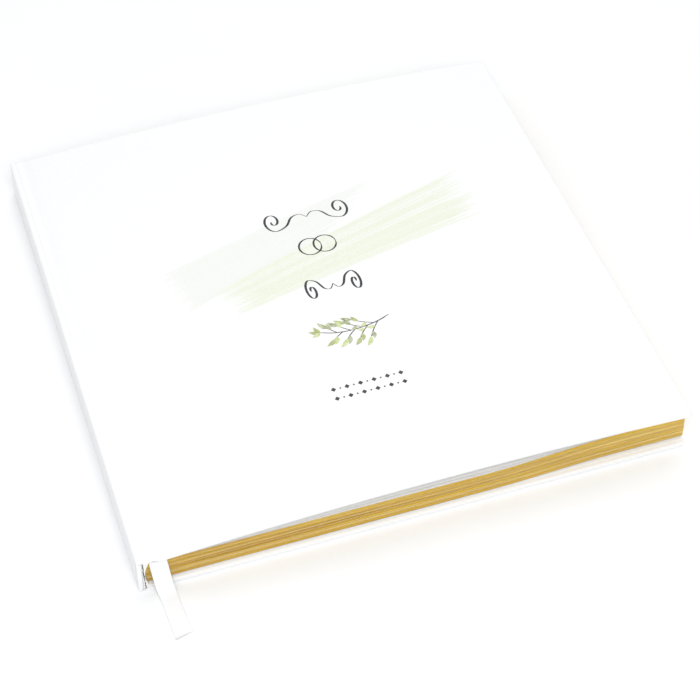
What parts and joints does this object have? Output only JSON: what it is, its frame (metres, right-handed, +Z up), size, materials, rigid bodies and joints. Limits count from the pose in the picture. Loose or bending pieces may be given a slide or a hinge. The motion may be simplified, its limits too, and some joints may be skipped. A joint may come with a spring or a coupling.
{
  "type": "guest book",
  "caption": "Square case-bound guest book lying closed: arched front cover, gilt-edged sewn page sections and a ribbon bookmark; the covers open on hinges.",
  "frame": {"origin": "centre of the back cover's underside, on the table", "axes": "+Z up through the closed book, +X from the spine to the fore edge, +Y from the tail to the head"},
  "size_m": [0.216, 0.239, 0.0223],
  "materials": {
    "greyboard": "raw greyboard",
    "cover_sheet": "matt laminated print",
    "endpaper": "uncoated",
    "gilt_pages": "uncoated, with gilt edges",
    "thread": "waxed linen",
    "gauze": "open weave",
    "lining_paper": "kraft",
    "satin": "satin"
  },
  "bodies": {
    "back_cover": {"back_board": "greyboard", "back_cover_sheet": "cover_sheet", "back_pastedown": "endpaper"},
    "block": {"spine_board": "greyboard", "spine_cover_sheet": "cover_sheet", "spine_mull": "gauze", "spine_lining": "lining_paper", "sewing_threads": "thread", "back_flyleaf": "endpaper", "section_5": "gilt_pages", "section_6": "gilt_pages", "section_7": "gilt_pages", "section_8": "gilt_pages", "ribbon_bookmark": "satin"},
    "page_group_1": {"section_1": "gilt_pages"},
    "page_group_2": {"section_2": "gilt_pages"},
    "page_group_3": {"section_3": "gilt_pages"},
    "page_group_4": {"section_4": "gilt_pages"},
    "flyleaf": {"front_flyleaf": "endpaper"},
    "front_cover": {"front_board": "greyboard", "front_cover_sheet": "cover_sheet", "front_pastedown": "endpaper"}
  },
  "joints": [
    {"name": "back_cover_hinge", "type": "hinge", "parent": "back_cover", "child": "block", "pos_m": [-0.1051, 0, 0.0029], "axis": [0, -1, 0], "range_deg": [0, 90]},
    {"name": "front_cover_hinge", "type": "hinge", "parent": "block", "child": "front_cover", "pos_m": [-0.1025, 0, 0.0178], "axis": [0, -1, 0], "range_deg": [0, 184]},
    {"name": "flyleaf_hinge", "type": "hinge", "parent": "block", "child": "flyleaf", "pos_m": [-0.10315, 0, 0.01435], "axis": [0, -1, 0], "range_deg": [0, 25.77]},
    {"name": "page_group_1_hinge", "type": "hinge", "parent": "block", "child": "page_group_1", "pos_m": [-0.1037, 0, 0.01325], "axis": [0, -1, 0], "range_deg": [0, 18.41], "deforming": ["ribbon_bookmark"]},
    {"name": "page_group_2_hinge", "type": "hinge", "parent": "block", "child": "page_group_2", "pos_m": [-0.10409, 0, 0.0119], "axis": [0, -1, 0], "range_deg": [0, 5.16]},
    {"name": "page_group_3_hinge", "type": "hinge", "parent": "block", "child": "page_group_3", "pos_m": [-0.10435, 0, 0.01055], "axis": [0, -1, 0], "range_deg": [0, 2.59]},
    {"name": "page_group_4_hinge", "type": "hinge", "parent": "block", "child": "page_group_4", "pos_m": [-0.10448, 0, 0.0092], "axis": [0, -1, 0], "range_deg": [0, 1.3]}
  ],
  "couplings": [
    {"joint": "flyleaf_hinge", "follows": "front_cover_hinge", "ratio": 0.14},
    {"joint": "page_group_1_hinge", "follows": "front_cover_hinge", "ratio": 0.1},
    {"joint": "page_group_2_hinge", "follows": "front_cover_hinge", "ratio": 0.028},
    {"joint": "page_group_3_hinge", "follows": "front_cover_hinge", "ratio": 0.014},
    {"joint": "page_group_4_hinge", "follows": "front_cover_hinge", "ratio": 0.007}
  ]
}
